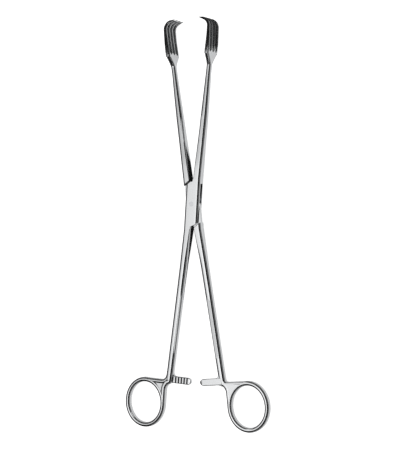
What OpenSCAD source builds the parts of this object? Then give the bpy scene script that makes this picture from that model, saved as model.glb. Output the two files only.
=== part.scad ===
// Uterine tenaculum forceps with four prongs on each jaw, a box lock and a ratchet.
// Each half is one forging, from finger ring through the lock to the opposite jaw.
// The frame: the pivot axis is Z, the jaws point along +Y, the rings along -Y,
// and z = 0 is the underside of the box. Lengths are in millimetres.

/* [Pose] */
// Angle between the two halves as the instrument lies
shown_angle = 9.4; // [0:0.2:30]

/* [Box lock] */
// Width of the box
box_w = 9; // [8.6:0.1:10]
// Thickness of the box
box_t = 6.1; // [5.6:0.1:7]
// Distance from the pivot to the outer corner of a slanted shoulder
shoulder_y = 10.9; // [10:0.1:13]
// Slant of the shoulders
shoulder_slant = 31; // [24:1:36]
// Distance from the pivot to where the shanks leave the box
lock_end = 15; // [14.5:0.1:18]
// Radius of the long edges of the box
box_round = 1.5; // [0.8:0.1:1.7]
// Width of the tongue that runs through the box
tongue_w = 6; // [5.2:0.1:6.4]
// Thickness of the tongue
tongue_t = 2.4; // [1.8:0.1:2.8]
// Lean of the tongue from the centre line when the instrument is closed
tongue_lean = 9.5; // [7:0.5:11]
// Diameter of the pivot pin
pin_d = 3; // [2:0.1:3.4]
// Running clearance round the pin in the tongue, on the radius
pin_clearance = 0.05; // [0.02:0.01:0.1]
// Clearance between the tongue and each cheek
cheek_clearance = 0.06; // [0.03:0.01:0.1]
// Clearance between the tongue and the slot wall when closed
slot_clearance = 0.1; // [0.05:0.01:0.15]
// Distance from the pivot to the end of the slot in each side of the box
slot_end = 12.4; // [12:0.1:13]
// Gap at a shoulder when the instrument is closed
shoulder_gap = 0.4; // [0.15:0.05:0.6]
// Gap between the two shanks beside the box when closed
crotch_gap = 0.34; // [0.2:0.02:0.5]

/* [Jaw arms] */
// Distance from the pivot to where the palm starts to flare
flare_y = 83; // [70:0.5:90]
// Length of the flare, up to its full width
flare_length = 7.4; // [6:0.1:9]
// Distance of the arm from the centre line where the flare starts, closed
arm_x = 5.1; // [4.4:0.1:6]
// Distance of the palm from the centre line at its full width, closed
palm_x = 6; // [5.2:0.1:6.6]
// Width of the arm half way up
arm_w = 4.2; // [3.4:0.1:4.4]
// Thickness of the arm half way up
arm_t = 4.7; // [4:0.1:5.2]
// Width of the arm where the flare starts
neck_w = 2.8; // [2.4:0.1:3.4]
// Thickness of the arm where the flare starts
neck_t = 3.5; // [3:0.1:4]
// Thickness of the palm in the opening plane
palm_t = 2.9; // [2.4:0.1:3.2]

/* [Prongs] */
// Number of prongs on each jaw
prong_count = 4; // [2:1:5]
// Distance from one prong to the next
prong_pitch = 3.7; // [3.4:0.1:4]
// Width of a prong across the fork
prong_w = 1.7; // [1.4:0.1:1.8]
// Thickness of a prong in the opening plane, before the bend
prong_t = 2.1; // [1.6:0.1:2.4]
// Length of the shaft of a prong, from the palm to the bend
prong_shaft = 16.2; // [12:0.1:22]
// Radius of the bend, at the middle of the prong
bend_radius = 4.8; // [3.8:0.1:5.4]
// Angle of the bend
bend_angle = 74; // [60:1:84]
// Length of the sharpened tip
tip_length = 3.6; // [2.8:0.1:4]
// Width of the point itself
point_w = 0.24; // [0.16:0.02:0.4]

/* [Handle shanks] */
// Distance from the pivot to the middle of the ratchet
ratchet_y = 105.9; // [90:0.5:120]
// Distance of the shank from the centre line at the ratchet, closed
shank_x = 9.1; // [8:0.1:10]
// Width of the shank near the box
shank_w = 4.5; // [4:0.1:5]
// Thickness of the shank near the box
shank_t = 4.8; // [4.2:0.1:5.4]
// Width of the shank at the ratchet
wrist_w = 4.1; // [3.6:0.1:4.6]
// Thickness of the shank at the ratchet
wrist_t = 4.3; // [4:0.1:4.8]

/* [Finger rings] */
// Width of a finger ring, measured inside
ring_w = 21.2; // [19:0.1:24]
// Height of a finger ring, measured inside
ring_h = 24.6; // [22:0.1:28]
// Thickness of the ring's limb in the opening plane
limb_w = 2.8; // [2.4:0.1:3.4]
// Depth of the ring's limb
limb_t = 4.2; // [3.8:0.1:4.6]
// Drop from the middle of the ratchet to the middle of the ring
ring_drop = 15.5; // [14.5:0.1:17]
// Distance of the ring's middle from the shank's line, sideways
ring_offset = 15.4; // [14.6:0.1:16.5]
// Lean of the ring's long axis, bottom towards the centre line
ring_lean = 3; // [0:0.5:6]
// Thickness of the web between the ring and the shank
web_t = 3.7; // [3.4:0.1:4]
// Radius of the hollow between the left ring and its shank
left_hollow = 3; // [1:0.1:3.6]
// Radius of the hollow between the right ring and its shank
right_hollow = 1.2; // [1:0.1:3.6]
// Radius of the fillet below the ratchet bar
root_fillet = 4.8; // [3.6:0.1:5.4]

/* [Ratchet] */
// Reach of a ratchet bar past the centre line when closed
ratchet_reach = 5; // [3.5:0.1:6]
// Height of a ratchet bar along the instrument
ratchet_h = 4.2; // [3.6:0.1:4.8]
// Thickness of a ratchet bar with its teeth
ratchet_t = 2.2; // [1.8:0.1:2.6]
// Number of teeth on a bar
tooth_count = 5; // [3:1:6]
// Distance from one tooth to the next
tooth_pitch = 1.9; // [1.6:0.1:2.1]
// Depth of a tooth
tooth_depth = 0.7; // [0.5:0.1:1]
// Width of the flat crest of a tooth
tooth_land = 0.9; // [0.5:0.1:1.1]
// Radius of the edges of a ratchet bar
bar_round = 0.5; // [0.2:0.1:0.8]
// Gap from the tooth tips to the middle plane
tooth_gap = 0.06; // [0.04:0.01:0.15]

/* [Hidden] */
$fn = 64;

corner_steps = 4;
ring_steps = 40;
mid_z = box_t / 2;
soft = 0.38;
limb_soft = 0.42;

// The lock: the shanks fill half of the box's width where they leave it
half_w = box_w / 2;
lock_shank_w = half_w - crotch_gap / 2;
lock_shank_x = half_w - lock_shank_w / 2;
lock_inset = 0.02;
lock_shank_t = box_t - lock_inset;
crotch_round = 0.3;
lock_depth = shoulder_y - 4;
shoulder_top = shoulder_y + half_w * tan(shoulder_slant);
slot_t = tongue_t + 2 * cheek_clearance;
slot_half = tongue_w / 2 + slot_clearance;
slot_wall = (slot_half - slot_end * sin(tongue_lean)) / cos(tongue_lean);
slot_reach = 3 * lock_end;

// The jaw: half a pitch between the two forks lets their prongs pass
fork_w = (prong_count - 1) * prong_pitch + prong_w;
fork_shift = prong_pitch / 4;
slot_r = (prong_pitch - prong_w) / 2;
palm_y = flare_y + flare_length;
palm_top = palm_y + 1.2 * slot_r;
palm_soft = 0.3;
prong_taper = 0.8;
prong_root = 1;
shaft_lean = 3.5;
shaft_turn = 5;
tip_turn = 8;

// The handle: the ring's middle line is an oval that the shank runs into
ring_x = shank_x + ring_offset;
ring_y = ratchet_y + ring_drop;
ring_a = (ring_w + limb_w) / 2;
ring_b = (ring_h + limb_w) / 2;
limb_x = ring_x - ring_a;
ring_top = ring_y - ring_b - limb_w / 2;
ratchet_top = ratchet_y - ratchet_h / 2;
ratchet_low = ratchet_y + ratchet_h / 2;
inner_edge = limb_w / 2 - limb_x;
rim_inset = 0.12;
rim_side = rim_inset - shank_x - wrist_w / 2;
bar_z = -ratchet_t / 2 - tooth_gap;
rim_join = 81;
web_inset = 0.04;
root_rise = ratchet_h / 2;

function mix(a, b, t) = a + (b - a) * t;
function ease(t) = t * t * (3 - 2 * t);
function spin(p, a) = [p[0] * cos(a) - p[1] * sin(a), p[0] * sin(a) + p[1] * cos(a)];
function ray(a, r) = [r * cos(a), r * sin(a)];

// A rectangle with round corners, about its own middle: r on its outer side, q on its inner
function round_rect(w, t, r, q) = [
    for (i = [0:3], k = [0:corner_steps])
        let (a = 90 * (i + k / corner_steps), outer = i == 0 || i == 3, c = outer ? r : q)
        [(outer ? 1 : -1) * (w / 2 - c) + c * cos(a), (i < 2 ? 1 : -1) * (t / 2 - c) + c * sin(a)]
];

// One ring of a loft. A station is
// [x, y, z, heading, width, thickness, corner radius, inner corner radius if it differs].
function section(s) = [
    for (p = round_rect(s[4], s[5], s[6], is_undef(s[7]) ? s[6] : s[7]))
        [s[0] + p[0] * sin(s[3]), s[1] - p[0] * cos(s[3]), s[2] + p[1]]
];

// A solid skin through a row of stations, closed on itself for a ring
module loft(stations, closed = false) {
    n = 4 * (corner_steps + 1);
    m = len(stations);
    sides = [
        for (i = [0:(closed ? m - 1 : m - 2)], j = [0:n - 1])
            let (k = (i + 1) % m, l = (j + 1) % n)
            each [[i * n + j, i * n + l, k * n + l], [i * n + j, k * n + l, k * n + j]]
    ];
    ends = closed ? [] : [[for (j = [n - 1:-1:0]) j], [for (j = [0:n - 1]) (m - 1) * n + j]];
    polyhedron([for (s = stations) each section(s)], concat(sides, ends), convexity = 8);
}

// The arm from inside the lock up to the palm, which flares out across the plane
arm_stations = [
    [lock_shank_x, lock_depth, 0, 90, lock_shank_w - lock_inset, lock_shank_t, box_round, crotch_round],
    [lock_shank_x, lock_end, 0, 90, lock_shank_w - lock_inset, lock_shank_t, box_round, crotch_round],
    for (t = [0.12, 0.3])
        [mix(lock_shank_x, arm_x, t), mix(lock_end, flare_y, t), 0, 90,
            mix(lock_shank_w, arm_w, 2 * t), mix(lock_shank_t, arm_t, ease(2 * t)),
            mix(box_round, arm_w * soft, 2 * t), mix(crotch_round, arm_w * soft, 2 * t)],
    for (t = [0.5, 0.75, 1])
        [mix(lock_shank_x, arm_x, t), mix(lock_end, flare_y, t), 0, 90,
            mix(arm_w, neck_w, 2 * t - 1), mix(arm_t, neck_t, 2 * t - 1), mix(arm_w, neck_w, 2 * t - 1) * soft],
    for (t = [0.12, 0.88, 1])
        [mix(arm_x, palm_x, t), mix(flare_y, palm_y, t), mix(0, fork_shift, t), 90,
            mix(neck_w, palm_t, t), mix(neck_t, fork_w, t < 0.5 ? t / 2 : t), mix(neck_w * soft, palm_t * palm_soft, t)],
    [palm_x, palm_top, fork_shift, 90, palm_t, fork_w, palm_t * palm_soft]
];

// A path of arcs: each leg is [length, turn, steps], from a point and a heading
function walk(p, h, legs, i = 0, k = 0) =
    i == len(legs) ? [[p[0], p[1], h, i, 0]] :
    let (step = legs[i][0] / legs[i][2], turn = legs[i][1] / legs[i][2], last = k + 1 == legs[i][2])
    concat(
        [[p[0], p[1], h, i, k / legs[i][2]]],
        walk(p + ray(h + turn / 2, step), h + turn, legs, last ? i + 1 : i, last ? 0 : k + 1)
    );

// Width, thickness and corner radius of a prong along the shaft, the bend and the tip
function prong_size(leg, t) =
    leg == 0 ? [palm_t, prong_w] :
    leg == 1 ? [mix(palm_t, prong_t, ease(t)), prong_w] :
    leg == 2 ? [mix(prong_t, prong_t * prong_taper, t), mix(prong_w, prong_w * prong_taper, t)] :
    leg == 3 ? [mix(prong_t * prong_taper, point_w, t), mix(prong_w * prong_taper, point_w, t)] :
    [point_w, point_w];

prong_path = walk(
    [palm_x, palm_y - prong_root],
    90,
    [
        [palm_top - palm_y + prong_root, -shaft_lean, 2],
        [prong_shaft - palm_top + palm_y - prong_root, shaft_turn, 5],
        [bend_radius * bend_angle * PI / 180, bend_angle, 7],
        [tip_length, tip_turn, 3]
    ]
);

module prong(z) {
    loft([
        for (p = prong_path)
            let (size = prong_size(p[3], p[4]))
            [p[0], p[1], z, p[2], size[0], size[1], min(size) * soft]
    ]);
}

// The fork: the palm is slotted from the top, and each slot ends in a half round
module jaw_arm() {
    difference() {
        loft(arm_stations);
        for (i = [1:prong_count - 1])
            translate([palm_x, palm_top, fork_shift + (i - prong_count / 2) * prong_pitch])
                rotate([0, 90, 0])
                    cylinder(r = slot_r, h = 2 * palm_t, center = true);
    }
    for (i = [0:prong_count - 1])
        prong(fork_shift + (i - (prong_count - 1) / 2) * prong_pitch);
}

// A point of the ring's middle line, and its heading there
function ring_point(a) = [-ring_x, -ring_y] + spin([ring_a * cos(a), ring_b * sin(a)], ring_lean);
function ring_heading(a) = atan2(ring_b * cos(a), -ring_a * sin(a)) + ring_lean;

// The fillet below the ratchet bar, and a limb's station with its inner edge at a point
function on_fillet(a) = [inner_edge + root_fillet, -ratchet_low - root_fillet] + ray(a, root_fillet);
function limb_station(edge, h, w) =
    let (p = edge - ray(h + 90, w / 2))
    [p[0], p[1], 0, h, w, limb_t, w * soft];

// The shank from inside the lock, round the fillet and into the inner limb of the ring
shank_stations = [
    [-lock_shank_x, -lock_depth, 0, -90, lock_shank_w - lock_inset, lock_shank_t, box_round, crotch_round],
    [-lock_shank_x, -lock_end, 0, -90, lock_shank_w - lock_inset, lock_shank_t, box_round, crotch_round],
    for (t = [0.1, 0.25])
        [-mix(lock_shank_x, shank_x, t), -mix(lock_end, ratchet_y, t), 0, -90,
            mix(lock_shank_w, shank_w, 4 * t), mix(lock_shank_t, shank_t, ease(4 * t)),
            mix(box_round, shank_w * soft, 4 * t), mix(crotch_round, shank_w * soft, 4 * t)],
    for (t = [0.5, 0.75, 1])
        [-mix(lock_shank_x, shank_x, t), -mix(lock_end, ratchet_y, t), 0, -90,
            mix(shank_w, wrist_w, t), mix(shank_t, wrist_t, t), mix(shank_w, wrist_w, t) * soft],
    limb_station([wrist_w / 2 - shank_x - 0.15, 0.8 - ratchet_low], 258, wrist_w),
    limb_station(on_fillet(110), 238, mix(wrist_w, limb_w, 0.3)),
    for (t = [0:0.2:1])
        limb_station(on_fillet(mix(130, 180, t)), mix(220, 270, t), mix(wrist_w, limb_w, mix(0.45, 1, t))),
    concat(ring_point(0), [0, ring_heading(0) + 180, limb_w, limb_t, limb_w * limb_soft])
];

module finger_ring() {
    loft(
        [
            for (i = [0:ring_steps - 1])
                let (a = 360 * i / ring_steps, p = ring_point(a))
                [p[0], p[1], 0, ring_heading(a), limb_w, limb_t, limb_w * limb_soft]
        ],
        closed = true
    );
}

// The outer rim: the ring's limb runs on along the web and into the shank
function outer_rim(hollow) = concat(
    [
        for (a = [0:-10:-90])
            concat([rim_side - hollow, hollow - ring_top] + ray(a, hollow + limb_w / 2), a - 90)
    ],
    [concat(ring_point(rim_join), ring_heading(rim_join))]
);

module rim(path) {
    loft([for (p = path) [p[0], p[1], 0, p[2], limb_w, limb_t, limb_w * limb_soft]]);
}

// The web fills what the shank, the rim and the ring leave between them. It is flush
// with their back and a little below their front.
module web(hollow) {
    shank_line = [for (i = [len(shank_stations) - 2:-1:len(shank_stations) - 6]) shank_stations[i]];
    translate([0, 0, web_inset - limb_t / 2])
        linear_extrude(web_t)
            polygon(concat(
                [[-shank_x, -ratchet_y]],
                [for (p = outer_rim(hollow)) [p[0], p[1]]],
                [for (a = [rim_join:-10:0]) ring_point(a)],
                [for (s = shank_line) [s[0], s[1]]]
            ));
}

// The root of the ratchet bar widens into the shank above and below
module root_outline() {
    root_side = wrist_w / 2 - shank_x;
    difference() {
        translate([-shank_x, -ratchet_low - root_fillet])
            square([shank_x + inner_edge + root_fillet, root_fillet + ratchet_h / 2]);
        translate([inner_edge + root_fillet, -ratchet_low - root_fillet])
            circle(r = root_fillet);
    }
    difference() {
        translate([-shank_x, -ratchet_y])
            square([shank_x + root_side + root_rise, ratchet_h / 2 + root_rise]);
        translate([root_side + root_rise, root_rise - ratchet_top])
            circle(r = root_rise);
    }
}

// A bar with round edges and a round end
bar_stations = [
    [-shank_x, -ratchet_y, bar_z, 0, ratchet_h, ratchet_t, bar_round],
    for (a = [0:15:75])
        [ratchet_reach + (sin(a) - 1) * ratchet_h / 2, -ratchet_y, bar_z, 0, ratchet_h * cos(a), ratchet_t, bar_round * cos(a)]
];

// Saw teeth with flat crests, steep on the side of their own shank
module tooth_gaps() {
    row_end = ratchet_reach - ratchet_h / 4;
    gap_w = tooth_pitch - tooth_land;
    translate([0, -ratchet_top + ratchet_h, 0])
        rotate([90, 0, 0])
            linear_extrude(3 * ratchet_h)
                for (i = [1:tooth_count])
                    translate([row_end - i * tooth_pitch, -tooth_gap])
                        polygon([[0, tooth_depth], [0, 0], [gap_w, -tooth_depth], [gap_w, tooth_depth]]);
}

module handle(hollow) {
    loft(shank_stations);
    finger_ring();
    rim(outer_rim(hollow));
    web(hollow);
    difference() {
        union() {
            loft(bar_stations);
            translate([0, 0, -ratchet_t - tooth_gap])
                linear_extrude(ratchet_t)
                    root_outline();
        }
        tooth_gaps();
    }
}

// Half of the box's outline is repeated by half a turn for the other half
box_half_outline = [
    [-half_w, -lock_end],
    [-half_w, shoulder_y],
    [0, shoulder_top],
    [crotch_gap / 2, lock_end]
];
box_outline = concat(box_half_outline, [for (p = box_half_outline) -p]);

// The block of the box, rounded along its long edges
module box_block() {
    intersection() {
        linear_extrude(box_t, center = true)
            polygon(box_outline);
        rotate([90, 0, 0])
            linear_extrude(2 * lock_end, center = true)
                polygon(round_rect(box_w, box_t, box_round, box_round));
    }
}

// The slot parts the box into two cheeks from side to side, and ends at the root of each arm
slot_half_outline = [
    [box_w, slot_end],
    [slot_wall, slot_end],
    [slot_wall, slot_end] + ray(90 + tongue_lean, slot_reach),
    [-slot_reach, slot_reach]
];

module slot_outline() {
    polygon(concat(slot_half_outline, [for (p = slot_half_outline) -p]));
}

module box_half() {
    color([0.78, 0.79, 0.81])
        translate([0, 0, mid_z])
            rotate(-shown_angle / 2)
                difference() {
                    union() {
                        box_block();
                        jaw_arm();
                        handle(left_hollow);
                    }
                    linear_extrude(slot_t, center = true)
                        slot_outline();
                    cylinder(d = pin_d, h = 2 * box_t, center = true);
                }
}

// The tongue is flush with its own half's outer edges, and leans across inside the box
tongue_half_outline = [
    [box_w, 0],
    [tongue_w / 2 / cos(tongue_lean), 0],
    [tongue_w / 2 / cos(tongue_lean), 0] + ray(90 + tongue_lean, slot_reach)
];

module tongue_outline() {
    intersection() {
        polygon(concat(tongue_half_outline, [for (p = tongue_half_outline) -p]));
        polygon([for (p = box_outline) [-p[0] * (1 - 2 * lock_inset), p[1]]]);
    }
}

// What the shoulders cut off: everything nearer to the pivot than the box's slanted ends
module shoulder_cut() {
    slack = shoulder_gap / cos(shoulder_slant);
    end = [box_w, shoulder_top + slack - box_w * tan(shoulder_slant)];
    rise = [-box_w, shoulder_top + slack + box_w * tan(shoulder_slant)];
    linear_extrude(2 * box_t, center = true)
        polygon([end, rise, -end, -rise]);
}

module tongue_half() {
    color([0.8, 0.81, 0.83])
        translate([0, 0, mid_z])
            rotate(shown_angle / 2)
                difference() {
                    union() {
                        rotate([0, 180, 0])
                            difference() {
                                union() {
                                    jaw_arm();
                                    handle(right_hollow);
                                }
                                shoulder_cut();
                            }
                        linear_extrude(tongue_t, center = true)
                            tongue_outline();
                    }
                    cylinder(r = pin_d / 2 + pin_clearance, h = 2 * box_t, center = true);
                }
}

// The pin is pressed through both cheeks, riveted and ground flush
module pivot_pin() {
    color([0.7, 0.71, 0.73])
        cylinder(d = pin_d, h = box_t);
}

box_half();
tongue_half();
pivot_pin();
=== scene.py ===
import math

import bmesh
import bpy
from mathutils import Matrix, Vector


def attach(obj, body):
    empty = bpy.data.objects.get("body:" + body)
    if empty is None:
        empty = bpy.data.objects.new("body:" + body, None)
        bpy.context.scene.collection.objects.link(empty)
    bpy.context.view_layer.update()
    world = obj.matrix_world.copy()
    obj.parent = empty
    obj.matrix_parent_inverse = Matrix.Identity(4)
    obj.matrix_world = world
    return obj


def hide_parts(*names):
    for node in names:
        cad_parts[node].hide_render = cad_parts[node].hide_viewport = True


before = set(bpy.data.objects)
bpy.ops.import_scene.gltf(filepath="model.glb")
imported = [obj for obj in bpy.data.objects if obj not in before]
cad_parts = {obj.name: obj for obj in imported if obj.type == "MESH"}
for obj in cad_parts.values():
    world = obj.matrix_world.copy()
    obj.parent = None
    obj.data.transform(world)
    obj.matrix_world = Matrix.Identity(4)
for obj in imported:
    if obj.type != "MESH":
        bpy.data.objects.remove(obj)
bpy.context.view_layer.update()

# ---- Viewpoint ----
# The instrument lies on its back on a pale table and is seen from above, from about
# 27 degrees to its right and a little from the handles, 0.8 m away.
aim = Vector((0, -0.00205, 0.00305))
to_right, to_handles, roll = math.radians(27.05), math.radians(1.0), math.radians(0.8)
back = Vector((
    math.sin(to_right) * math.cos(to_handles),
    -math.sin(to_handles),
    math.cos(to_right) * math.cos(to_handles),
))
across = Vector((math.cos(to_right), 0, -math.sin(to_right)))
along = back.cross(across)
right = across * math.cos(roll) - along * math.sin(roll)
up = across * math.sin(roll) + along * math.cos(roll)
viewpoint = bpy.data.cameras.new("viewpoint")
viewpoint.sensor_width = 36
viewpoint.lens = 110.4
viewpoint.shift_x = 0.0142
viewpoint.shift_y = -0.0387
viewpoint.clip_start = 0.05
viewpoint.clip_end = 20
camera = bpy.data.objects.new("viewpoint", viewpoint)
camera.matrix_world = Matrix.Translation(aim + back * 0.823) @ Matrix((right, up, back)).transposed().to_4x4()
bpy.context.scene.collection.objects.link(camera)
bpy.context.scene.camera = camera

# ---- Box half ----
# One drop forging in stainless steel: left finger ring and shank, the box of the lock,
# right arm and fork. It is milled, slotted for the tongue, filed and mirror polished.
SHOWN = 9.4
BOX_W, BOX_T = 9.0, 6.1
MID = BOX_T / 2
SHOULDER_Y, SLANT, LOCK_END = 10.9, 31, 15.0
SHOULDER_TOP = SHOULDER_Y + BOX_W / 2 * math.tan(math.radians(SLANT))
CROTCH = 0.34
LOCK_SHANK_W = BOX_W / 2 - CROTCH / 2 - 0.02
LOCK_SHANK_X = BOX_W / 2 - (BOX_W / 2 - CROTCH / 2) / 2
LOCK_SHANK_T = BOX_T - 0.02
EDGE_R, CROTCH_R = 1.5, 0.3
TONGUE_W, TONGUE_T, TONGUE_LEAN = 6.0, 2.4, 9.5
PIN_D = 3.0
FLARE_Y, FLARE, ARM_X, PALM_X = 83.0, 7.4, 5.1, 6.0
ARM_W, ARM_T, NECK_W, NECK_T, PALM_T = 4.2, 4.7, 2.8, 3.5, 2.9
PRONGS, PITCH, PRONG_W, PRONG_T = 4, 3.7, 1.7, 2.1
SHAFT, BEND_R, BEND, TIP, POINT = 16.2, 4.8, 74, 3.6, 0.24
FORK_W = (PRONGS - 1) * PITCH + PRONG_W
FORK_SHIFT = PITCH / 4
SLOT_R = (PITCH - PRONG_W) / 2
PALM_Y = FLARE_Y + FLARE
PALM_TOP = PALM_Y + 1.2 * SLOT_R
RATCHET_Y, SHANK_X, SHANK_W, SHANK_T, WRIST_W, WRIST_T = 105.9, 9.1, 4.5, 4.8, 4.1, 4.3
RING_A, RING_B = (21.2 + 2.8) / 2, (24.6 + 2.8) / 2
LIMB_W, LIMB_T, RING_LEAN = 2.8, 4.2, 3
RING_X, RING_Y = SHANK_X + 15.4, RATCHET_Y + 15.5
LIMB_X = RING_X - RING_A
RING_TOP = RING_Y - RING_B - LIMB_W / 2
WEB_T, ROOT_R, RIM_JOIN = 3.7, 4.8, 80
REACH, BAR_H, BAR_T, BAR_R = 5.0, 4.2, 2.2, 0.5
TEETH, TOOTH, TOOTH_LAND, TOOTH_DEPTH, TOOTH_GAP = 5, 1.9, 0.9, 0.7, 0.06


def mix(a, b, t):
    return a + (b - a) * t


def ease(t):
    return t * t * (3 - 2 * t)


def solid(name, points, faces):
    """A closed mesh object from points in millimetres."""
    mesh = bpy.data.meshes.new(name)
    mesh.from_pydata([(x / 1000, y / 1000, z / 1000) for x, y, z in points], [], faces)
    shape = bmesh.new()
    shape.from_mesh(mesh)
    bmesh.ops.recalc_face_normals(shape, faces=shape.faces)
    shape.to_mesh(mesh)
    shape.free()
    piece = bpy.data.objects.new(name, mesh)
    bpy.context.scene.collection.objects.link(piece)
    return piece


def flowing(rows, parts):
    """Fills each leg between two rows of sizes with a smooth run that never overshoots them."""
    gaps = [max(math.dist(a[:3], b[:3]), 1e-6) for a, b in zip(rows, rows[1:])]
    filled = []
    for i, gap in enumerate(gaps):
        for k in range(parts):
            t = k / parts
            row = []
            for c in range(len(rows[0])):
                rise = [(rows[j + 1][c] - rows[j][c]) / gaps[j] if 0 <= j < len(gaps) else None for j in (i - 1, i, i + 1)]
                ends = []
                for before, after in ((rise[0], rise[1]), (rise[1], rise[2])):
                    if before is None or after is None:
                        ends.append(rise[1])
                    else:
                        ends.append(0 if before * after <= 0 else 2 * before * after / (before + after))
                a, b = rows[i][c], rows[i + 1][c]
                row.append(
                    a * (2 * t**3 - 3 * t**2 + 1) + b * (3 * t**2 - 2 * t**3)
                    + gap * (ends[0] * (t**3 - 2 * t**2 + t) + ends[1] * (t**3 - t**2))
                )
            filled.append(row)
    return filled + [list(rows[-1])]


def forged_bar(name, stations, ring=False, corner=6):
    """A bar through stations of x, y, z, heading, width, thickness, outer and inner corner radius."""
    points, faces = [], []
    for x, y, z, heading, width, thick, outer, *inner in stations:
        side = math.radians(heading)
        for q in range(4):
            radius = outer if q in (0, 3) or not inner else inner[0]
            for k in range(corner + 1):
                a = math.radians(90) * (q + k / corner)
                u = (1 if q in (0, 3) else -1) * (width / 2 - radius) + radius * math.cos(a)
                v = (1 if q < 2 else -1) * (thick / 2 - radius) + radius * math.sin(a)
                points.append((x + u * math.sin(side), y - u * math.cos(side), z + v))
    n, m = 4 * (corner + 1), len(stations)
    for i in range(m if ring else m - 1):
        for j in range(n):
            k, l = (i + 1) % m, (j + 1) % n
            faces.append((i * n + j, i * n + l, k * n + l, k * n + j))
    if not ring:
        faces += [tuple(range(n)), tuple((m - 1) * n + j for j in range(n))]
    return solid(name, points, faces)


def plate(name, outline, low, high):
    """A flat plate with an outline, from one height to another."""
    n = len(outline)
    points = [(x, y, low) for x, y in outline] + [(x, y, high) for x, y in outline]
    faces = [tuple(range(n)), tuple(range(n, 2 * n))]
    faces += [(i, (i + 1) % n, n + (i + 1) % n, n + i) for i in range(n)]
    return solid(name, points, faces)


def disc(middle, radius, steps=64):
    return [(middle[0] + radius * math.cos(2 * math.pi * i / steps), middle[1] + radius * math.sin(2 * math.pi * i / steps)) for i in range(steps)]


def settled(piece):
    """Turns a piece and its modifiers into a plain mesh."""
    bpy.context.view_layer.update()
    plain = bpy.data.meshes.new_from_object(piece.evaluated_get(bpy.context.evaluated_depsgraph_get()))
    piece.modifiers.clear()
    old = piece.data
    piece.data = plain
    bpy.data.meshes.remove(old)
    return piece


def worked(piece, others, how):
    """Joins other solids to a piece, or cuts them out of it, and uses them up."""
    for other in others:
        step = piece.modifiers.new(how, "BOOLEAN")
        step.operation = how
        step.solver = "EXACT"
        step.use_self = False
        step.object = other
    settled(piece)
    for other in others:
        bpy.data.objects.remove(other)
    return piece


def turned(piece, *moves):
    for move in moves:
        piece.data.transform(move)
    return piece


def row_tree():
    """A Geometry Nodes tree that repeats a shape in a straight row."""
    tree = bpy.data.node_groups.new("forged_row", "GeometryNodeTree")
    face = tree.interface
    face.new_socket("Shape", in_out="INPUT", socket_type="NodeSocketGeometry")
    face.new_socket("Count", in_out="INPUT", socket_type="NodeSocketInt")
    face.new_socket("Start", in_out="INPUT", socket_type="NodeSocketVector")
    face.new_socket("Step", in_out="INPUT", socket_type="NodeSocketVector")
    face.new_socket("Finish", in_out="INPUT", socket_type="NodeSocketMaterial")
    face.new_socket("Row", in_out="OUTPUT", socket_type="NodeSocketGeometry")
    nodes, link = tree.nodes, tree.links.new
    given, made = nodes.new("NodeGroupInput"), nodes.new("NodeGroupOutput")
    line = nodes.new("GeometryNodeMeshLine")
    line.mode = "OFFSET"
    copies = nodes.new("GeometryNodeInstanceOnPoints")
    real = nodes.new("GeometryNodeRealizeInstances")
    coat = nodes.new("GeometryNodeSetMaterial")
    link(given.outputs["Count"], line.inputs["Count"])
    link(given.outputs["Start"], line.inputs["Start Location"])
    link(given.outputs["Step"], line.inputs["Offset"])
    link(line.outputs["Mesh"], copies.inputs["Points"])
    link(given.outputs["Shape"], copies.inputs["Instance"])
    link(copies.outputs["Instances"], real.inputs["Geometry"])
    link(real.outputs["Geometry"], coat.inputs["Geometry"])
    link(given.outputs["Finish"], coat.inputs["Material"])
    link(coat.outputs["Geometry"], made.inputs["Row"])
    return tree


forged_row = row_tree()


def in_a_row(piece, count, start, step, finish):
    """Repeats a piece with the row tree, from a start and by a step in millimetres."""
    row = piece.modifiers.new("row", "NODES")
    row.node_group = forged_row
    named = {s.name: s.identifier for s in forged_row.interface.items_tree if s.in_out == "INPUT"}
    row[named["Count"]] = count
    row[named["Start"]] = [v / 1000 for v in start]
    row[named["Step"]] = [v / 1000 for v in step]
    row[named["Finish"]] = finish
    return settled(piece)


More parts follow.
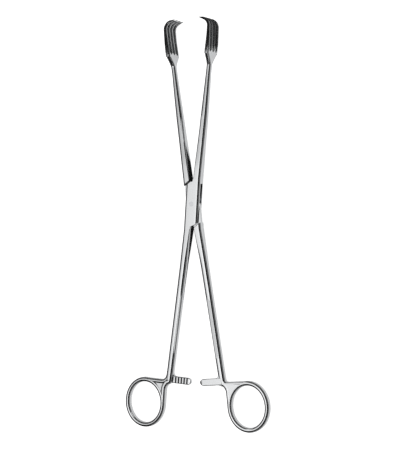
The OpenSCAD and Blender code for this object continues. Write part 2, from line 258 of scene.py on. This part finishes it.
def polish_marks():
    """Shader group: fine polishing lines along the metal and a soft unevenness in the gloss."""
    group = bpy.data.node_groups.new("polish_marks", "ShaderNodeTree")
    face = group.interface
    for name, value in (("Base Gloss", 0.14), ("Gloss Spread", 0.06)):
        face.new_socket(name, in_out="INPUT", socket_type="NodeSocketFloat").default_value = value
    face.new_socket("Tone", in_out="INPUT", socket_type="NodeSocketColor").default_value = (0.8, 0.8, 0.8, 1)
    face.new_socket("Color", in_out="OUTPUT", socket_type="NodeSocketColor")
    face.new_socket("Roughness", in_out="OUTPUT", socket_type="NodeSocketFloat")
    face.new_socket("Height", in_out="OUTPUT", socket_type="NodeSocketFloat")
    nodes, link = group.nodes, group.links.new
    given, made = nodes.new("NodeGroupInput"), nodes.new("NodeGroupOutput")
    place = nodes.new("ShaderNodeTexCoord")
    stretch = nodes.new("ShaderNodeVectorMath")
    stretch.operation = "MULTIPLY"
    stretch.inputs[1].default_value = (1.0, 0.06, 1.0)
    lines = nodes.new("ShaderNodeTexNoise")
    lines.inputs["Scale"].default_value = 5200
    lines.inputs["Detail"].default_value = 3
    haze = nodes.new("ShaderNodeTexNoise")
    haze.inputs["Scale"].default_value = 160
    haze.inputs["Detail"].default_value = 5
    spread = nodes.new("ShaderNodeMath")
    spread.operation = "MULTIPLY_ADD"
    tint = nodes.new("ShaderNodeMapRange")
    tint.inputs["To Min"].default_value = 0.93
    tint.inputs["To Max"].default_value = 1.03
    shade = nodes.new("ShaderNodeVectorMath")
    shade.operation = "SCALE"
    link(place.outputs["Object"], stretch.inputs[0])
    link(stretch.outputs["Vector"], lines.inputs["Vector"])
    link(place.outputs["Object"], haze.inputs["Vector"])
    link(haze.outputs["Fac"], spread.inputs[0])
    link(given.outputs["Gloss Spread"], spread.inputs[1])
    link(given.outputs["Base Gloss"], spread.inputs[2])
    link(spread.outputs["Value"], made.inputs["Roughness"])
    link(haze.outputs["Fac"], tint.inputs["Value"])
    link(given.outputs["Tone"], shade.inputs[0])
    link(tint.outputs["Result"], shade.inputs["Scale"])
    link(shade.outputs["Vector"], made.inputs["Color"])
    link(lines.outputs["Fac"], made.inputs["Height"])
    return group


polish = polish_marks()


def steel(name, tone, gloss, spread, relief):
    """Polished steel: the metal shader stays here and the marks come from the group."""
    metal = bpy.data.materials.new(name)
    metal.use_nodes = True
    nodes, link = metal.node_tree.nodes, metal.node_tree.links.new
    shader = nodes["Principled BSDF"]
    shader.inputs["Metallic"].default_value = 1
    shader.inputs["IOR"].default_value = 2.2
    marks = nodes.new("ShaderNodeGroup")
    marks.node_tree = polish
    marks.inputs["Base Gloss"].default_value = gloss
    marks.inputs["Gloss Spread"].default_value = spread
    marks.inputs["Tone"].default_value = (*tone, 1)
    bump = nodes.new("ShaderNodeBump")
    bump.inputs["Strength"].default_value = relief
    bump.inputs["Distance"].default_value = 0.00001
    link(marks.outputs["Color"], shader.inputs["Base Color"])
    link(marks.outputs["Roughness"], shader.inputs["Roughness"])
    link(marks.outputs["Height"], bump.inputs["Height"])
    link(bump.outputs["Normal"], shader.inputs["Normal"])
    return metal


forged_steel = steel("forged_steel", (0.83, 0.84, 0.85), 0.07, 0.07, 0.25)


def fork_and_arm(name):
    """The jaw arm from inside the lock to the palm, and the four hooked prongs."""
    mid_w = 0.38
    rows = [
        (LOCK_SHANK_X, LOCK_END, 0, 90, LOCK_SHANK_W, LOCK_SHANK_T, EDGE_R, CROTCH_R),
        *[(mix(LOCK_SHANK_X, ARM_X, t), mix(LOCK_END, FLARE_Y, t), 0, 90,
           mix(LOCK_SHANK_W, ARM_W, 2 * t), mix(LOCK_SHANK_T, ARM_T, ease(2 * t)),
           *[mix(r, ARM_W * mid_w, 2 * t) for r in (EDGE_R, CROTCH_R)]) for t in (0.12, 0.3)],
        *[(mix(LOCK_SHANK_X, ARM_X, t), mix(LOCK_END, FLARE_Y, t), 0, 90,
           mix(ARM_W, NECK_W, 2 * t - 1), mix(ARM_T, NECK_T, 2 * t - 1),
           *[mix(ARM_W, NECK_W, 2 * t - 1) * mid_w] * 2) for t in (0.5, 0.75, 1)],
        *[(mix(ARM_X, PALM_X, t), mix(FLARE_Y, PALM_Y, t), mix(0, FORK_SHIFT, t), 90,
           mix(NECK_W, PALM_T, t), mix(NECK_T, FORK_W, t / 2 if t < 0.5 else t),
           *[mix(NECK_W * mid_w, PALM_T * 0.3, t)] * 2) for t in (0.12, 0.88, 1)],
        (PALM_X, PALM_TOP, FORK_SHIFT, 90, PALM_T, FORK_W, PALM_T * 0.3, PALM_T * 0.3),
    ]
    inside = (LOCK_SHANK_X, SHOULDER_Y - 4, 0, 90, LOCK_SHANK_W, LOCK_SHANK_T, EDGE_R, CROTCH_R)
    arm = forged_bar(name, [inside, *flowing(rows, 7)])
    notch = plate("notch", disc((0, 0), SLOT_R), -PALM_T, PALM_T)
    turned(notch, Matrix.Rotation(math.radians(90), 4, "Y"))
    in_a_row(notch, PRONGS - 1, (PALM_X, PALM_TOP, FORK_SHIFT + (1 - PRONGS / 2) * PITCH), (0, 0, PITCH), forged_steel)
    worked(arm, [notch], "DIFFERENCE")

    x, y, heading, stations = PALM_X, PALM_Y - 1, 90, []
    root = PALM_TOP - PALM_Y + 1
    for leg, (length, turn, steps) in enumerate(((root, -3.5, 3), (SHAFT - root, 5, 10), (BEND_R * math.radians(BEND), BEND, 20), (TIP, 8, 8))):
        for k in range(steps + (leg == 3)):
            t = k / steps
            if leg < 2:
                thick, wide = mix(PALM_T, PRONG_T, ease(t * leg)), PRONG_W
            else:
                narrow = mix(1, 0.8, t) if leg == 2 else 0.8
                thick, wide = PRONG_T * narrow, PRONG_W * narrow
            if leg == 3:
                thick, wide = mix(thick, POINT, t), mix(wide, POINT, t)
            round_share = mix(0.49, 0.4, min(1, t * leg + max(0, leg - 1)))
            stations.append((x, y, 0, heading, thick, wide, min(thick, wide) * round_share))
            middle = math.radians(heading + turn / steps / 2)
            x, y, heading = x + length / steps * math.cos(middle), y + length / steps * math.sin(middle), heading + turn / steps
    prong = forged_bar("prong", stations, corner=5)
    in_a_row(prong, PRONGS, (0, 0, FORK_SHIFT + (1 - PRONGS) / 2 * PITCH), (0, 0, PITCH), forged_steel)
    return worked(arm, [prong], "UNION")


def ring_point(a):
    x, y, lean = RING_A * math.cos(math.radians(a)), RING_B * math.sin(math.radians(a)), math.radians(RING_LEAN)
    return x * math.cos(lean) - y * math.sin(lean) - RING_X, x * math.sin(lean) + y * math.cos(lean) - RING_Y


def ring_heading(a):
    return math.degrees(math.atan2(RING_B * math.cos(math.radians(a)), -RING_A * math.sin(math.radians(a)))) + RING_LEAN


def limb(name, path, closed=False):
    """A ring's limb along a path of x, y and heading."""
    return forged_bar(name, [(x, y, 0, heading, LIMB_W - 0.02, LIMB_T, LIMB_W * 0.44) for x, y, heading in path], ring=closed)


def handle(name, hollow):
    """The shank, the finger ring with its web, and the ratchet bar with its teeth."""
    soft = 0.38
    low, top = RATCHET_Y + BAR_H / 2, RATCHET_Y - BAR_H / 2
    end, side = LIMB_W / 2 - LIMB_X, WRIST_W / 2 - SHANK_X

    def on_fillet(a):
        return end + ROOT_R + ROOT_R * math.cos(math.radians(a)), -low - ROOT_R + ROOT_R * math.sin(math.radians(a))

    def edge_row(edge, heading, width):
        a = math.radians(heading + 90)
        return edge[0] - width / 2 * math.cos(a), edge[1] - width / 2 * math.sin(a), 0, heading, width, LIMB_T, width * soft, width * soft

    rows = [
        (-LOCK_SHANK_X, -LOCK_END, 0, -90, LOCK_SHANK_W, LOCK_SHANK_T, EDGE_R, CROTCH_R),
        *[(-mix(LOCK_SHANK_X, SHANK_X, t), -mix(LOCK_END, RATCHET_Y, t), 0, -90,
           mix(LOCK_SHANK_W, SHANK_W, 4 * t), mix(LOCK_SHANK_T, SHANK_T, ease(4 * t)),
           *[mix(r, SHANK_W * soft, 4 * t) for r in (EDGE_R, CROTCH_R)]) for t in (0.1, 0.25)],
        *[(-mix(LOCK_SHANK_X, SHANK_X, t), -mix(LOCK_END, RATCHET_Y, t), 0, -90,
           mix(SHANK_W, WRIST_W, t), mix(SHANK_T, WRIST_T, t), *[mix(SHANK_W, WRIST_W, t) * soft] * 2) for t in (0.5, 0.75, 1)],
        edge_row((side - 0.15, 0.8 - low), -102, WRIST_W),
        edge_row(on_fillet(110), -122, mix(WRIST_W, LIMB_W, 0.3)),
        *[edge_row(on_fillet(mix(130, 180, t / 5)), mix(-140, -90, t / 5), mix(WRIST_W, LIMB_W, mix(0.45, 1, t / 5))) for t in range(6)],
        (*ring_point(0), 0, ring_heading(0) - 180, LIMB_W - 0.04, LIMB_T - 0.02, LIMB_W * 0.44, LIMB_W * 0.44),
    ]
    inside = (-LOCK_SHANK_X, 4 - SHOULDER_Y, 0, -90, LOCK_SHANK_W, LOCK_SHANK_T, EDGE_R, CROTCH_R)
    shank = forged_bar(name, [inside, *flowing(rows, 7)])

    ring = limb("ring", [(*ring_point(2.5 * i), ring_heading(2.5 * i)) for i in range(144)], closed=True)
    outer, turn = 0.12 - SHANK_X - WRIST_W / 2, hollow + LIMB_W / 2
    rim = [(outer - hollow + turn * math.cos(math.radians(a)), hollow - RING_TOP + turn * math.sin(math.radians(a)), a - 90) for a in range(0, -91, -5)]
    rim += [(*ring_point(RIM_JOIN), ring_heading(RIM_JOIN))]
    web = plate("web", [
        (-SHANK_X, -RATCHET_Y), *[p[:2] for p in rim],
        *[ring_point(a) for a in range(RIM_JOIN, -1, -5)], *[p[:2] for p in rows[-2:-7:-1]],
    ], 0.04 - LIMB_T / 2, 0.04 - LIMB_T / 2 + WEB_T)

    bar = forged_bar("bar", [
        (-SHANK_X, -RATCHET_Y, -BAR_T / 2 - TOOTH_GAP, 0, BAR_H, BAR_T, BAR_R),
        *[(REACH + (math.sin(math.radians(a)) - 1) * BAR_H / 2, -RATCHET_Y, -BAR_T / 2 - TOOTH_GAP, 0,
           BAR_H * math.cos(math.radians(a)), BAR_T - BAR_R * (1 - math.cos(math.radians(a))), BAR_R * math.cos(math.radians(a))) for a in range(0, 85, 6)],
    ])
    rise = BAR_H / 2
    under = plate("under", [(-SHANK_X, -low - ROOT_R), (end + ROOT_R, -low - ROOT_R), (end + ROOT_R, -RATCHET_Y), (-SHANK_X, -RATCHET_Y)], 0.4 - BAR_T - TOOTH_GAP, -TOOTH_GAP - 0.4)
    worked(under, [plate("hollow", disc((end + ROOT_R, -low - ROOT_R), ROOT_R, 96), -5, 5)], "DIFFERENCE")
    over = plate("over", [(-SHANK_X, -RATCHET_Y), (side + rise, -RATCHET_Y), (side + rise, rise - top), (-SHANK_X, rise - top)], 0.4 - BAR_T - TOOTH_GAP, -TOOTH_GAP - 0.4)
    worked(over, [plate("hollow", disc((side + rise, rise - top), rise, 64), -5, 5)], "DIFFERENCE")
    for root in (under, over):
        edge = root.modifiers.new("edge", "BEVEL")
        edge.width, edge.segments, edge.angle_limit = 0.0004, 3, math.radians(60)
        settled(root)
    worked(bar, [under, over], "UNION")
    width = TOOTH - TOOTH_LAND
    gap = plate("gap", [(0, 1), (0, -TOOTH_GAP), (width, -TOOTH_GAP - TOOTH_DEPTH), (width, 1)], RATCHET_Y - BAR_H * 2, RATCHET_Y + BAR_H)
    turned(gap, Matrix.Rotation(math.radians(90), 4, "X"))
    in_a_row(gap, TEETH, (REACH - BAR_H / 4 - TEETH * TOOTH, 0, 0), (TOOTH, 0, 0), forged_steel)
    worked(bar, [gap], "DIFFERENCE")
    return worked(shank, [ring, limb("rim", rim), web, bar], "UNION")


def shoulder_edges(line_y, inward):
    """Wedges that take the sharp edge off both slanted shoulders, above and below."""
    slant = math.radians(SLANT)
    wedges = []
    for half_turn in (1, -1):
        for face in (1, -1):
            points = []
            for x in (-BOX_W, BOX_W):
                for depth, z in ((-0.2, MID - 0.55), (0.55, MID + 0.2), (-0.2, MID + 0.2)):
                    points.append((
                        half_turn * (x + depth * inward * math.sin(slant)),
                        half_turn * (line_y - x * math.tan(slant) + depth * inward * math.cos(slant)),
                        face * z,
                    ))
            wedges.append(solid("wedge", points, [(0, 1, 2), (3, 5, 4), (0, 3, 4, 1), (1, 4, 5, 2), (2, 5, 3, 0)]))
    return wedges


def finished(piece, node, body, surface):
    """Shades the piece, gives it its finish and puts it in place of the CAD node."""
    piece.data.materials.clear()
    piece.data.materials.append(surface)
    shape = bmesh.new()
    shape.from_mesh(piece.data)
    bmesh.ops.remove_doubles(shape, verts=shape.verts, dist=1e-6)
    shape.to_mesh(piece.data)
    shape.free()
    for face in piece.data.polygons:
        face.use_smooth = True
        face.material_index = 0
    piece.data.set_sharp_from_angle(angle=math.radians(34))
    flats = piece.modifiers.new("flats", "WEIGHTED_NORMAL")
    flats.keep_sharp = True
    settled(piece)
    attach(piece, body)
    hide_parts(node)


corner_x, corner_y = BOX_W / 2, LOCK_END
half_outline = [(-corner_x, -corner_y), (-corner_x, SHOULDER_Y), (0, SHOULDER_TOP), (CROTCH / 2, LOCK_END)]
box_outline = half_outline + [(-x, -y) for x, y in half_outline]
box = plate("box_forging", box_outline, -MID, MID)
section = forged_bar("section", [(0, y, 0, 90, BOX_W, BOX_T, EDGE_R) for y in (-LOCK_END - 1, LOCK_END + 1)], corner=8)
worked(box, [section], "INTERSECT")
worked(box, [fork_and_arm("arm"), handle("shank", 3.0)], "UNION")


def ray(angle, length):
    return length * math.cos(math.radians(angle)), length * math.sin(math.radians(angle))


lean, slot_end = math.radians(TONGUE_LEAN), 12.4
slot_wall = (TONGUE_W / 2 + 0.1 - slot_end * math.sin(lean)) / math.cos(lean)
along_slot = ray(90 + TONGUE_LEAN, 45)
slot_half = [(BOX_W, slot_end), (slot_wall, slot_end), (slot_wall + along_slot[0], slot_end + along_slot[1]), (-45, 45)]
slot = plate("slot", slot_half + [(-x, -y) for x, y in slot_half], -TONGUE_T / 2 - 0.06, TONGUE_T / 2 + 0.06)
pin_hole = plate("pin_hole", disc((0, 0), PIN_D / 2), -9, 9)
worked(box, [slot, pin_hole], "DIFFERENCE")
turned(box, Matrix.Rotation(math.radians(-SHOWN / 2), 4, "Z"), Matrix.Translation((0, 0, MID / 1000)))
finished(box, "box_half", "box_body", forged_steel)

# ---- Tongue half ----
# The other forging of the same steel: right finger ring and shank, the thin tongue that
# is threaded through the box while hot, and the left arm and fork.
tongue_arm = worked(fork_and_arm("tongue_forging"), [handle("shank", 1.2)], "UNION")
slack = 0.4 / math.cos(math.radians(SLANT))
rise = 9 * math.tan(math.radians(SLANT))
near, far = (9, SHOULDER_TOP + slack - rise), (-9, SHOULDER_TOP + slack + rise)
shoulders = plate("shoulders", [near, far, (-near[0], -near[1]), (-far[0], -far[1])], -9, 9)
worked(tongue_arm, [shoulders, *shoulder_edges(SHOULDER_TOP + slack, 1)], "DIFFERENCE")
turned(tongue_arm, Matrix.Rotation(math.radians(180), 4, "Y"))
edge = TONGUE_W / 2 / math.cos(lean)
tongue_side = [(BOX_W, 0), (edge, 0), (edge + along_slot[0], along_slot[1])]
tongue = plate("tongue", tongue_side + [(-x, -y) for x, y in tongue_side], -TONGUE_T / 2, TONGUE_T / 2)
mirrored = [(-x * 0.96, y) for x, y in box_outline]
worked(tongue, [plate("outline", mirrored, -9, 9)], "INTERSECT")
worked(tongue_arm, [tongue], "UNION")
worked(tongue_arm, [plate("bore", disc((0, 0), PIN_D / 2 + 0.05), -9, 9)], "DIFFERENCE")
turned(tongue_arm, Matrix.Rotation(math.radians(SHOWN / 2), 4, "Z"), Matrix.Translation((0, 0, MID / 1000)))
finished(tongue_arm, "tongue_half", "tongue_body", forged_steel)

# ---- Pivot pin ----
# A hardened steel pin, pressed through both cheeks of the box, riveted over and ground
# flush, so that only its ring shows in the polish.
pin_steel = steel("pin_steel", (0.74, 0.75, 0.77), 0.12, 0.06, 0.3)
rivet = plate("rivet", disc((0, 0), PIN_D / 2 - 0.005), 0, BOX_T)
finished(rivet, "pivot_pin", "box_body", pin_steel)

# ---- Table and light ----
# A matt white table top in an even white tent. The polish reflects a dark ceiling with a
# window under a graded scrim, grey walls and small cards, which draw its lines and bands.
# Dark sheets laid on the table and the table's darkening to glossy rays are painted shade, and two glowing strips are
# painted highlights, all seen only in reflections.
world = bpy.data.worlds.new("tent")
bpy.context.scene.world = world
world.use_nodes = True
nodes, link = world.node_tree.nodes, world.node_tree.links.new
tent = nodes["Background"]
tent.inputs["Color"].default_value = (1, 1, 1, 1)
tent.inputs["Strength"].default_value = 0.55
white = nodes.new("ShaderNodeBackground")
white.inputs["Color"].default_value = (1, 1, 1, 1)
seen = nodes.new("ShaderNodeLightPath")
shown = nodes.new("ShaderNodeMath")
shown.operation = "MAXIMUM"
either = nodes.new("ShaderNodeMath")
either.operation = "MAXIMUM"
pick = nodes.new("ShaderNodeMixShader")
link(seen.outputs["Is Camera Ray"], shown.inputs[0])
link(seen.outputs["Is Glossy Ray"], shown.inputs[1])
link(shown.outputs["Value"], either.inputs[0])
link(seen.outputs["Is Transmission Ray"], either.inputs[1])
link(either.outputs["Value"], pick.inputs["Fac"])
link(tent.outputs["Background"], pick.inputs[1])
link(white.outputs["Background"], pick.inputs[2])
link(pick.outputs["Shader"], nodes["World Output"].inputs["Surface"])


def laid(piece):
    """Sets a flat piece on the slight slope that the rings' bottoms and the forks' backs rest on."""
    return turned(piece, Matrix.Rotation(math.radians(-1.328), 4, "X"), Matrix.Translation((0, 0.0904, -0.0043)))


table = laid(solid("table", [(-1500, -1500, 0), (1500, -1500, 0), (1500, 1500, 0), (-1500, 1500, 0)], [(0, 1, 2, 3)]))
matt = bpy.data.materials.new("matt_white")
matt.use_nodes = True
nodes, link = matt.node_tree.nodes, matt.node_tree.links.new
paint = nodes["Principled BSDF"]
paint.inputs["Base Color"].default_value = (0.9, 0.9, 0.9, 1)
paint.inputs["Roughness"].default_value = 0.9
paint.inputs["Specular IOR Level"].default_value = 0.1
glow = nodes.new("ShaderNodeEmission")
glow.inputs["Strength"].default_value = 0.8
seen = nodes.new("ShaderNodeLightPath")
shown = nodes.new("ShaderNodeMath")
shown.operation = "MAXIMUM"
either = nodes.new("ShaderNodeMath")
either.operation = "MAXIMUM"
lifted = nodes.new("ShaderNodeMixShader")
both = nodes.new("ShaderNodeAddShader")
# Painted shade in the reflections: to glossy rays the table is mixed with near black, half of it where the ray comes
# down steeply and all of it at grazing angles, so the polish shows the table grey to dark.
slope = nodes.new("ShaderNodeLayerWeight")
slope.inputs["Blend"].default_value = 0.5
dark_reflection_ramp = nodes.new("ShaderNodeMapRange")
dark_reflection_ramp.inputs["From Min"].default_value = 0.35
dark_reflection_ramp.inputs["From Max"].default_value = 0.62
dark_reflection_ramp.inputs["To Min"].default_value = 0.5
low = nodes.new("ShaderNodeMath")
low.operation = "MULTIPLY"
shade = nodes.new("ShaderNodeEmission")
shade.inputs["Color"].default_value = (0.02, 0.02, 0.02, 1)
painted_reflection_shade = nodes.new("ShaderNodeMixShader")
link(seen.outputs["Is Camera Ray"], shown.inputs[0])
link(seen.outputs["Is Glossy Ray"], shown.inputs[1])
link(shown.outputs["Value"], either.inputs[0])
link(seen.outputs["Is Transmission Ray"], either.inputs[1])
link(paint.outputs["BSDF"], both.inputs[0])
link(glow.outputs["Emission"], both.inputs[1])
link(either.outputs["Value"], lifted.inputs["Fac"])
link(paint.outputs["BSDF"], lifted.inputs[1])
link(both.outputs["Shader"], lifted.inputs[2])
link(slope.outputs["Facing"], dark_reflection_ramp.inputs["Value"])
link(seen.outputs["Is Glossy Ray"], low.inputs[0])
link(dark_reflection_ramp.outputs["Result"], low.inputs[1])
side = nodes.new("ShaderNodeNewGeometry")
below = nodes.new("ShaderNodeMath")
below.operation = "MULTIPLY"
clear = nodes.new("ShaderNodeBsdfTransparent")
sheet = nodes.new("ShaderNodeMixShader")
link(low.outputs["Value"], painted_reflection_shade.inputs["Fac"])
link(lifted.outputs["Shader"], painted_reflection_shade.inputs[1])
link(shade.outputs["Emission"], painted_reflection_shade.inputs[2])
link(side.outputs["Backfacing"], below.inputs[0])
link(seen.outputs["Is Camera Ray"], below.inputs[1])
link(below.outputs["Value"], sheet.inputs["Fac"])
link(painted_reflection_shade.outputs["Shader"], sheet.inputs[1])
link(clear.outputs["BSDF"], sheet.inputs[2])
link(sheet.outputs["Shader"], nodes["Material Output"].inputs["Surface"])
table.data.materials.append(matt)

ceiling = worked(plate("ceiling", disc((0, 0), 3000), 900, 905), [plate("window", disc((-328, -12), 375, 128), 800, 1000)], "DIFFERENCE")
dark = bpy.data.materials.new("dark_cloth_and_painted_shade")
dark.use_nodes = True
dark.node_tree.nodes["Principled BSDF"].inputs["Base Color"].default_value = (0.01, 0.01, 0.01, 1)
dark.node_tree.nodes["Principled BSDF"].inputs["Roughness"].default_value = 1
walls = forged_bar("walls", [(x, y, 400, i * 5.625 + 90, 5, 1020, 1) for i, (x, y) in enumerate(disc((0, 0), 3010))], ring=True, corner=1)
grey = bpy.data.materials.new("grey_wall")
grey.use_nodes = True
nodes, link = grey.node_tree.nodes, grey.node_tree.links.new
paint = nodes.new("ShaderNodeEmission")
paint.inputs["Strength"].default_value = 0.3
link(paint.outputs["Emission"], nodes["Material Output"].inputs["Surface"])
for part, surface in ((ceiling, dark), (walls, grey)):
    part.data.materials.clear()
    part.data.materials.append(surface)
    part.visible_camera = False
    part.visible_diffuse = False
    part.visible_shadow = False
shades = [
    plate("roof_card", [(-80, 97), (15, 97), (15, 150), (-80, 150)], 60, 61),
    # Painted shade: these two dark sheets laid on the table by the forks are seen only in reflections and stand for the
    # table's shaded patches there.
    laid(plate("left_painted_shade", [(-60, -2), (-14, -2), (-12, 35), (-60, 35)], 0.1, 0.15)),
    laid(plate("middle_painted_shade", [(-3, 3), (26, 3), (26, 40), (-3, 40)], 0.1, 0.15)),
    plate("flank_card", [(-900, -800), (-200, -1150), (-195, -1140), (-895, -790)], 60, 600),
    # Painted shade: these two dark sheets laid on the table in the two crotches are seen only in reflections and stand
    # for the table's shaded patches there.
    laid(plate("upper_crotch_painted_shade", [(-2, -78), (4, -78), (0, -50)], 0.1, 0.15)),
    laid(plate("lower_crotch_painted_shade", [(-2, -102), (2.5, -102), (-7, -150)], 0.1, 0.15)),
]
for card in shades:
    card.data.materials.append(dark)
    card.visible_camera = False
    card.visible_diffuse = False
    card.visible_shadow = False

# Painted highlights: two thin upright strips over the instrument's middle line glow, lit by no lamp, and are seen only
# in reflections, where they lay light lines in the polish.
highlight_glow = bpy.data.materials.new("painted_highlight_strip")
highlight_glow.use_nodes = True
nodes, link = highlight_glow.node_tree.nodes, highlight_glow.node_tree.links.new
pale = nodes.new("ShaderNodeEmission")
pale.inputs["Strength"].default_value = 0.7
link(pale.outputs["Emission"], nodes["Material Output"].inputs["Surface"])
for low_y, high_y in ((-94, -58), (40, 54)):
    card = plate("painted_highlight_strip", [(-0.5, low_y), (0.5, low_y), (0.5, high_y), (-0.5, high_y)], 12, 90)
    card.data.materials.append(highlight_glow)
    card.visible_camera = False
    card.visible_diffuse = False
    card.visible_shadow = False

scrim = plate("scrim", [(-1240, -600), (90, -600), (90, 780), (-1240, 780)], 1560, 1561)
cloth = bpy.data.materials.new("scrim_cloth")
cloth.use_nodes = True
nodes, link = cloth.node_tree.nodes, cloth.node_tree.links.new
place = nodes.new("ShaderNodeTexCoord")
parted = nodes.new("ShaderNodeSeparateXYZ")
rise = nodes.new("ShaderNodeMapRange")
rise.inputs["From Min"].default_value = -1.1
rise.inputs["From Max"].default_value = -0.3
rise.inputs["To Min"].default_value = 0.62
rise.inputs["To Max"].default_value = 1.35
lit = nodes.new("ShaderNodeEmission")
link(place.outputs["Object"], parted.inputs["Vector"])
fade = nodes.new("ShaderNodeMapRange")
fade.inputs["From Min"].default_value = 0.1
fade.inputs["From Max"].default_value = 0.28
fade.inputs["To Min"].default_value = 1
fade.inputs["To Max"].default_value = 0.6
both = nodes.new("ShaderNodeMath")
both.operation = "MULTIPLY"
link(parted.outputs["X"], rise.inputs["Value"])
link(parted.outputs["Y"], fade.inputs["Value"])
link(rise.outputs["Result"], both.inputs[0])
link(fade.outputs["Result"], both.inputs[1])
link(both.outputs["Value"], lit.inputs["Strength"])
link(lit.outputs["Emission"], nodes["Material Output"].inputs["Surface"])
scrim.data.materials.append(cloth)
scrim.visible_camera = False
scrim.visible_diffuse = False
scrim.visible_shadow = False

softbox = bpy.data.lights.new("softbox", "AREA")
softbox.shape = "RECTANGLE"
softbox.size, softbox.size_y = 0.6, 1.2
softbox.energy = 3
lamp = bpy.data.objects.new("softbox", softbox)
lamp.location = (-0.15, 0, 1.25)
lamp.visible_glossy = False
bpy.context.scene.collection.objects.link(lamp)

scene = bpy.context.scene
scene.view_settings.view_transform = "Standard"
